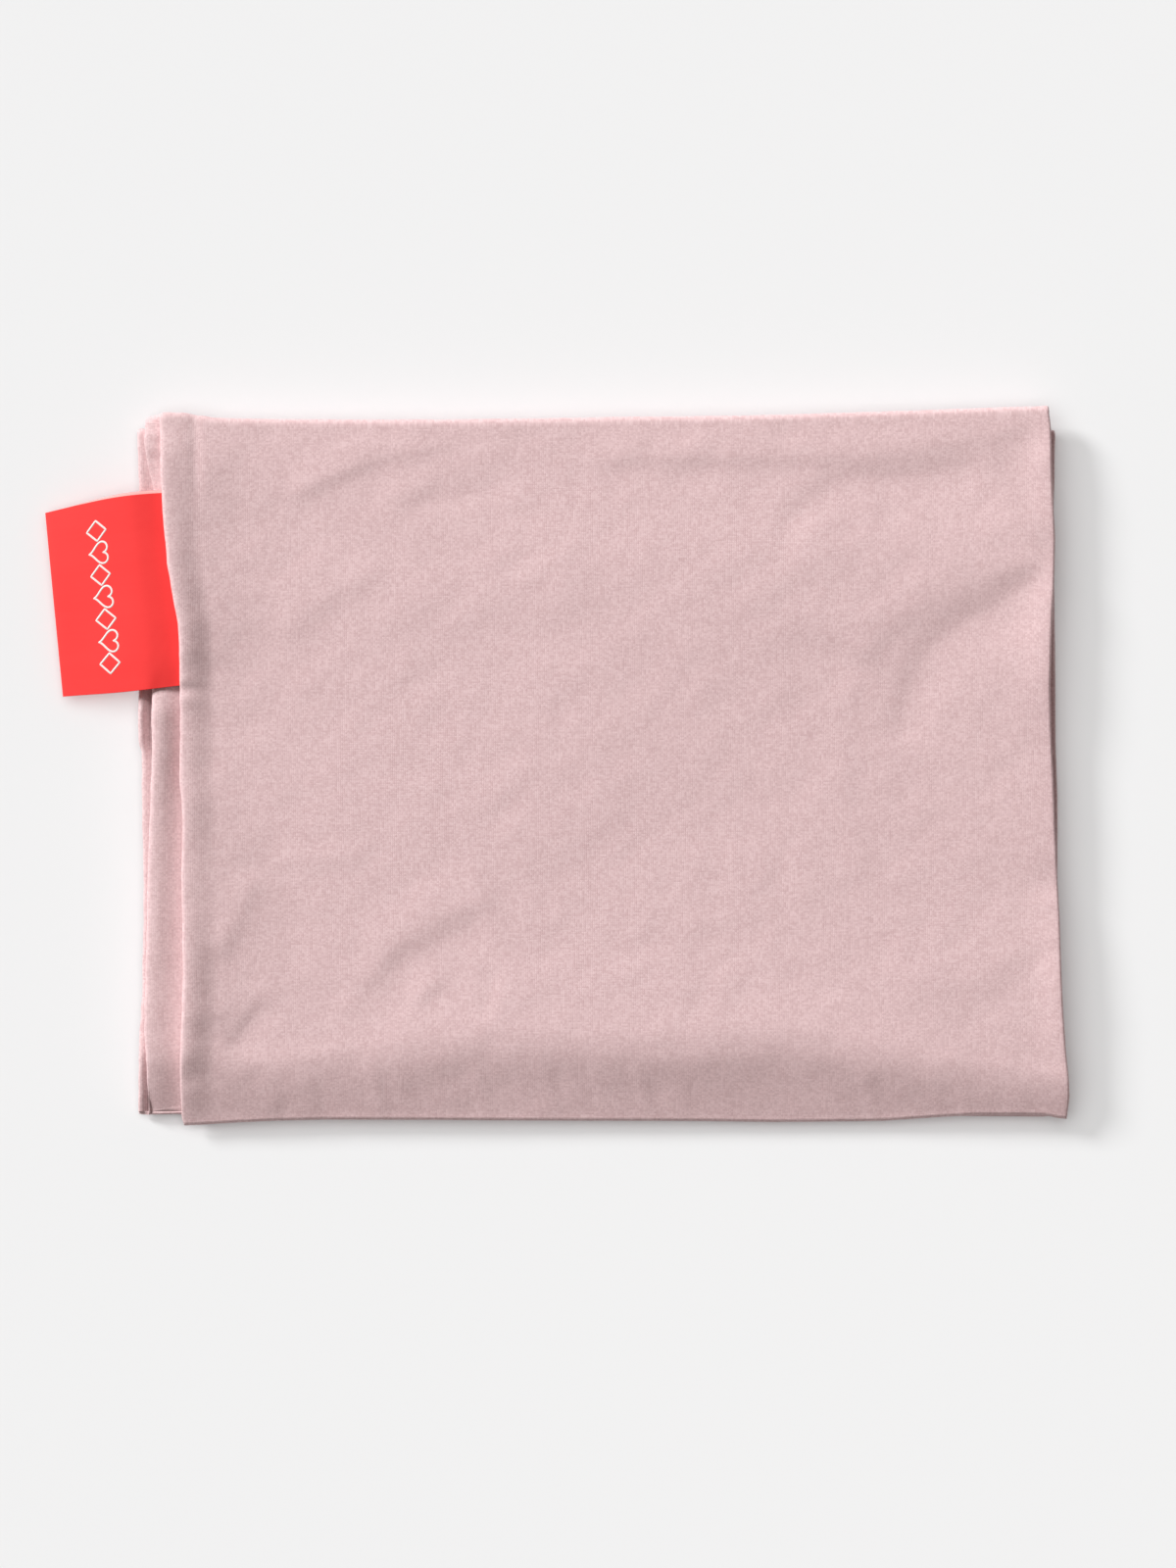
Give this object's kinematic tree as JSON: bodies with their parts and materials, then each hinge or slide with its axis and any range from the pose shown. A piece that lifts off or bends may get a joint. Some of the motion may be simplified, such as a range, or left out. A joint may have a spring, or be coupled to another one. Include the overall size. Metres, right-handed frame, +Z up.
{
  "type": "flat-folded baby wrap sling",
  "caption": "Folded stretch-jersey baby wrap sling in flat leaves that unfold, with a red loop label in the side seam.",
  "frame": {"origin": "on the resting face, under the middle of the folded stack with its label", "axes": "+Z up off the table, +X along the leaves towards the side with the plain fold, +Y towards the far creases; the label sticks out to -X"},
  "size_m": [0.2755, 0.1925, 0.009],
  "materials": {
    "jersey": "fine single jersey, dusty pink, matt",
    "sewing_thread": "matching spun thread",
    "label_ribbon": "bright red satin ribbon",
    "motif_thread": "white woven motif"
  },
  "bodies": {
    "bottom_leaf": {"bottom_leaf_hem_threads": "sewing_thread", "bottom_leaf_lower_hem": "jersey", "bottom_leaf_lower_ply": "jersey", "bottom_leaf_lower_tuck": "jersey", "bottom_leaf_overlock_thread": "sewing_thread", "bottom_leaf_side_fold": "jersey", "bottom_leaf_upper_hem": "jersey", "bottom_leaf_upper_ply": "jersey", "bottom_leaf_upper_tuck": "jersey", "crease_low_inner_ply": "jersey", "crease_low_outer_ply": "jersey"},
    "lower_leaf": {"crease_mid_inner_ply": "jersey", "crease_mid_outer_ply": "jersey", "lower_leaf_lower_ply": "jersey", "lower_leaf_lower_tuck": "jersey", "lower_leaf_overlock_thread": "sewing_thread", "lower_leaf_side_fold": "jersey", "lower_leaf_upper_ply": "jersey", "lower_leaf_upper_tuck": "jersey"},
    "upper_leaf": {"crease_top_inner_ply": "jersey", "crease_top_outer_ply": "jersey", "upper_leaf_lower_ply": "jersey", "upper_leaf_lower_tuck": "jersey", "upper_leaf_overlock_thread": "sewing_thread", "upper_leaf_side_fold": "jersey", "upper_leaf_upper_ply": "jersey", "upper_leaf_upper_tuck": "jersey"},
    "top_leaf": {"label_tongue": "label_ribbon", "top_leaf_end_fold": "jersey", "top_leaf_lower_ply": "jersey", "top_leaf_lower_tuck": "jersey", "top_leaf_overlock_thread": "sewing_thread", "top_leaf_side_fold": "jersey", "top_leaf_upper_ply": "jersey", "top_leaf_upper_tuck": "jersey"},
    "label": {"label_back_face": "label_ribbon", "label_end_fold": "label_ribbon", "label_front_face": "label_ribbon", "label_motif": "motif_thread"}
  },
  "joints": [
    {"name": "unfold_lower", "type": "hinge", "parent": "bottom_leaf", "child": "lower_leaf", "pos_m": [0, 0.0886, 0.0022], "axis": [-1, 0, 0], "range_deg": [0, 179], "deforming": ["crease_low_inner_ply", "crease_low_outer_ply"]},
    {"name": "unfold_upper", "type": "hinge", "parent": "lower_leaf", "child": "upper_leaf", "pos_m": [0, -0.0935, 0.0045], "axis": [1, 0, 0], "range_deg": [0, 179], "deforming": ["crease_mid_inner_ply", "crease_mid_outer_ply"]},
    {"name": "unfold_top", "type": "hinge", "parent": "upper_leaf", "child": "top_leaf", "pos_m": [0, 0.093, 0.0068], "axis": [-0.9999, -0.0122, 0], "range_deg": [0, 179], "deforming": ["crease_top_inner_ply", "crease_top_outer_ply"]},
    {"name": "label_flap", "type": "hinge", "parent": "top_leaf", "child": "label", "pos_m": [-0.10638, 0.04786, 0.00795], "axis": [-0.0302, 0.9995, 0], "range_deg": [-3, 115]}
  ]
}
